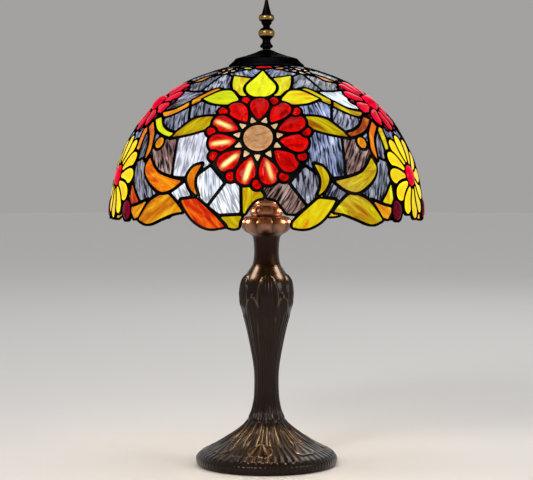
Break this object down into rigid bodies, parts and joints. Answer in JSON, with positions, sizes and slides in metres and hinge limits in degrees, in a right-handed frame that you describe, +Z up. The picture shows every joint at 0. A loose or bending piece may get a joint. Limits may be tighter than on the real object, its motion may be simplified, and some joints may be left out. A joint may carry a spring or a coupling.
{
  "type": "stained glass table lamp",
  "caption": "Table lamp with a domed, scalloped leaded glass shade of red, crimson and yellow flowers on a cast bronze column, with pull-chain sockets and a turned finial.",
  "frame": {"origin": "centre of the felt pad's underside, on the surface that the lamp stands on", "axes": "+Z up along the column; -Y is the front, where the large red flower faces"},
  "size_m": [0.4055, 0.4049, 0.61],
  "materials": {
    "bronze": "dark brown cast bronze with rubbed copper highlights",
    "brass": "satin brass hardware",
    "steel": "zinc-plated steel",
    "iron": "rough cast iron",
    "felt": "dark green felt",
    "dark_plastic": "moulded dark phenolic",
    "liner": "fibre insulating liner",
    "bulb_glass": "frosted soft white glass",
    "black_metal": "black patinated spun metal",
    "red_glass": "leaded red and blue-grey art glass",
    "yellow_glass": "leaded yellow and crimson art glass",
    "amber_glass": "leaded amber and white art glass",
    "grey_glass": "leaded blue-grey rippled art glass",
    "olive_glass": "leaded olive streaky art glass"
  },
  "bodies": {
    "root": {"base_foot": "bronze", "base_ballast": "iron", "felt_pad": "felt", "cord_gland": "dark_plastic", "lock_washer": "steel", "bottom_nut": "steel", "centre_pipe": "steel", "stem_column": "bronze", "lobed_collar": "bronze", "collar_ring": "bronze", "top_nut": "brass", "cluster_body": "brass", "shade_rod": "steel", "seat_nut": "brass", "socket_nipple_left": "brass", "socket_cap_left": "brass", "socket_shell_left": "brass", "socket_liner_left": "liner", "switch_core_left": "dark_plastic", "socket_nipple_right": "brass", "socket_cap_right": "brass", "socket_shell_right": "brass", "socket_liner_right": "liner", "switch_core_right": "dark_plastic"},
    "wheel": {"spider_wheel": "steel"},
    "shade": {"crown_ring": "brass", "shade_panel_front": "red_glass", "shade_panel_right": "yellow_glass", "shade_panel_left": "amber_glass", "shade_panel_back_right": "grey_glass", "shade_panel_back_left": "olive_glass"},
    "cap": {"heat_cap": "black_metal"},
    "finial": {"finial": "bronze"},
    "bulb_left": {"bulb_glass_left": "bulb_glass", "bulb_base_left": "steel"},
    "bulb_right": {"bulb_glass_right": "bulb_glass", "bulb_base_right": "steel"},
    "pull_left": {"pull_chain_left": "brass", "chain_bell_left": "brass"},
    "pull_right": {"pull_chain_right": "brass", "chain_bell_right": "brass"}
  },
  "joints": [
    {"name": "shade_turn", "type": "hinge", "parent": "root", "child": "wheel", "pos_m": [0, 0, 0.5043], "axis": [0, 0, 1], "continuous": true},
    {"name": "shade_lift", "type": "slide", "parent": "wheel", "child": "shade", "axis": [0, 0, 1], "range_m": [0, 0.22]},
    {"name": "cap_lift", "type": "slide", "parent": "shade", "child": "cap", "axis": [0, 0, 1], "range_m": [0, 0.05]},
    {"name": "finial_unscrew", "type": "slide", "parent": "cap", "child": "finial", "axis": [0, 0, 1], "range_m": [0, 0.03]},
    {"name": "bulb_left_unscrew", "type": "slide", "parent": "root", "child": "bulb_left", "axis": [-0.9659, 0, 0.2588], "range_m": [0, 0.024]},
    {"name": "bulb_right_unscrew", "type": "slide", "parent": "root", "child": "bulb_right", "axis": [0.9659, 0, 0.2588], "range_m": [0, 0.024]},
    {"name": "pull_left", "type": "slide", "parent": "root", "child": "pull_left", "axis": [0, 0, -1], "range_m": [0, 0.008], "stiffness_N_per_m": 200, "springref_m": -0.002},
    {"name": "pull_right", "type": "slide", "parent": "root", "child": "pull_right", "axis": [0, 0, -1], "range_m": [0, 0.008], "stiffness_N_per_m": 200, "springref_m": -0.002}
  ]
}
